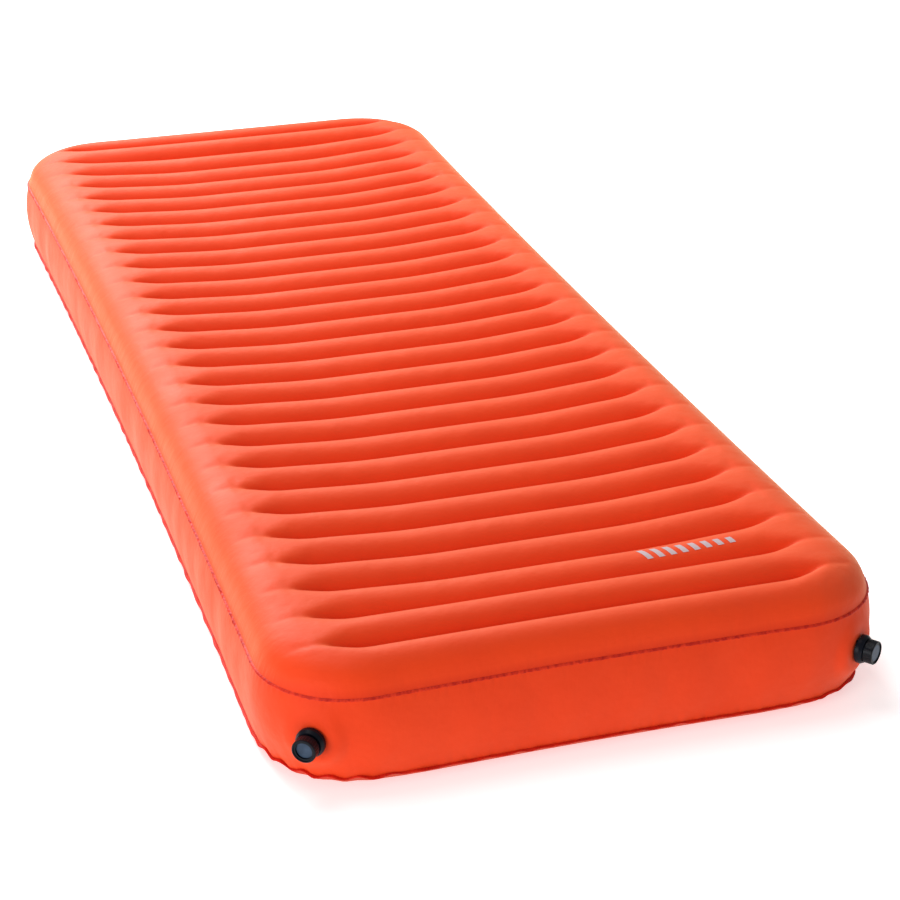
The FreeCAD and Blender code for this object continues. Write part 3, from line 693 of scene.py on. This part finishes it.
# ================================================================== valves
# Two twist valves, one in each foot corner.  A tube of black nylon with a
# collar is welded into the wall by a soft flange; a fluted cap screws out to
# open it and in to seal on the fixed blue-grey plug and two rubber rings.
def moulded(name, colour, worn, roughness, grain):
    """Injection-moulded plastic or rubber with a fine spark-eroded texture.

    grain is the size of the texture's spots in metres.
    """
    made, tree, shader = material(name, Roughness=roughness, IOR=1.53,
                                  Specular_IOR_Level=0.12)
    place = add(tree, "TexCoord").outputs["Object"]
    spots = add(tree, "TexNoise", {"Vector": place, "Scale": 1 / grain,
                                   "Detail": 2.0}).outputs["Fac"]
    cast = add(tree, "Bump", {"Height": spots, "Strength": 0.35,
                              "Distance": grain / 6}).outputs[0]
    tree.links.new(cast, shader.inputs["Normal"])
    flow = add(tree, "TexNoise", {"Vector": place, "Scale": 90.0, "Detail": 3.0})
    tone = add(tree, "MapRange", {0: flow.outputs["Fac"], 1: 0.35, 2: 0.7})
    mixed = add(tree, "Mix", {0: tone.outputs[0], 6: paint(colour), 7: paint(worn)},
                data_type="RGBA").outputs[2]
    tree.links.new(mixed, shader.inputs["Base Color"])
    gloss = add(tree, "MapRange", {0: spots, 1: 0.3, 2: 0.7, 3: roughness - 0.06,
                                   4: roughness + 0.08})
    tree.links.new(gloss.outputs[0], shader.inputs["Roughness"])
    return made


valve_finishes = {
    "valve_body": moulded("black_moulded_nylon", "#0A0C14", "#11141E", 0.34, 0.0006),
    "twist_cap": moulded("black_moulded_nylon_cap", "#090B10", "#11141C", 0.32, 0.0006),
    "mouth_plug": moulded("blue_grey_moulded_nylon", "#2C3A4C", "#38485C", 0.34, 0.0006),
    "plug_o_ring": moulded("black_moulded_rubber", "#0E0E10", "#18181A", 0.55, 0.0004),
    "cap_o_ring": moulded("black_moulded_rubber_large", "#0E0E10", "#18181A", 0.55,
                          0.0004),
    "valve_flange": moulded("red_moulded_urethane", "#B8261A", "#A51E14", 0.5, 0.0008),
}
for side in valve_axes:
    for part, finish in valve_finishes.items():
        node = frame["nodes"][f"{side}_{part}"]
        for index in range(len(node.material_slots)):
            node.material_slots[index].material = finish

# =================================================================== stage
# A plain pale floor that glows a little, so that shadows stay faint, soft light
# from the head end, overhead and the left, and the camera at the foot end,
# standing to the pad's left and looking down on it.
floor_mesh = bpy.data.meshes.new("floor")
floor_reach = 150
floor_mesh.from_pydata([(-floor_reach, -floor_reach, 0), (floor_reach, -floor_reach, 0),
                        (floor_reach, floor_reach, 0), (-floor_reach, floor_reach, 0)],
                       [], [(0, 1, 2, 3)])
floor = bpy.data.objects.new("floor", floor_mesh)
floor.location.z = -0.0004
bpy.context.scene.collection.objects.link(floor)
floor_paint, floor_tree, floor_shader = material("matt_white_floor", Roughness=0.8)
floor_shader.inputs["Base Color"].default_value = paint("#F6F6F6")
floor_shader.inputs["Specular IOR Level"].default_value = 0.2
floor_shader.inputs["Emission Color"].default_value = (1, 1, 1, 1)
floor_shader.inputs["Emission Strength"].default_value = 0.5
floor_mesh.materials.append(floor_paint)

world = bpy.data.worlds.new("studio")
bpy.context.scene.world = world
world.use_nodes = True
world.node_tree.nodes["Background"].inputs["Color"].default_value = (1, 1, 1, 1)
world.node_tree.nodes["Background"].inputs["Strength"].default_value = 0.34


def soft_light(name, place, aim, size, power):
    """A large square lamp at place, turned towards aim."""
    lamp = bpy.data.lights.new(name, "AREA")
    lamp.size = size
    lamp.energy = power
    holder = bpy.data.objects.new(name, lamp)
    holder.location = place
    holder.rotation_euler = (Vector(place) - Vector(aim)).to_track_quat(
        "Z", "Y").to_euler()
    bpy.context.scene.collection.objects.link(holder)


soft_light("head_end_softbox", (-0.6, 3.4, 2.4), (0, 0, 0.1), 2.2, 205)
soft_light("overhead_softbox", (-0.8, 0.2, 3.2), (0, 0, 0.1), 1.8, 45)
soft_light("left_softbox", (-3.5, -2.9, 1.0), (0, -0.7, 0.1), 1.8, 85)

bpy.context.scene.view_settings.view_transform = "Standard"

azimuth, elevation, roll = (math.radians(a) for a in (-17.327, 24.934, -0.286))
camera_back = Vector((math.sin(azimuth) * math.cos(elevation),
                      -math.cos(azimuth) * math.cos(elevation), math.sin(elevation)))
level = Vector((0, 0, 1)).cross(camera_back).normalized()
upright = camera_back.cross(level)
camera_right = level * math.cos(roll) + upright * math.sin(roll)
camera_up = upright * math.cos(roll) - level * math.sin(roll)
camera = bpy.data.objects.new("camera", bpy.data.cameras.new("camera"))
camera.data.lens = 92.56
camera.data.sensor_width = 36
camera.matrix_world = Matrix.Translation((-0.8229, -3.0758, 1.4135)) @ Matrix(
    (camera_right, camera_up, camera_back)).transposed().to_4x4()
bpy.context.scene.collection.objects.link(camera)
bpy.context.scene.camera = camera
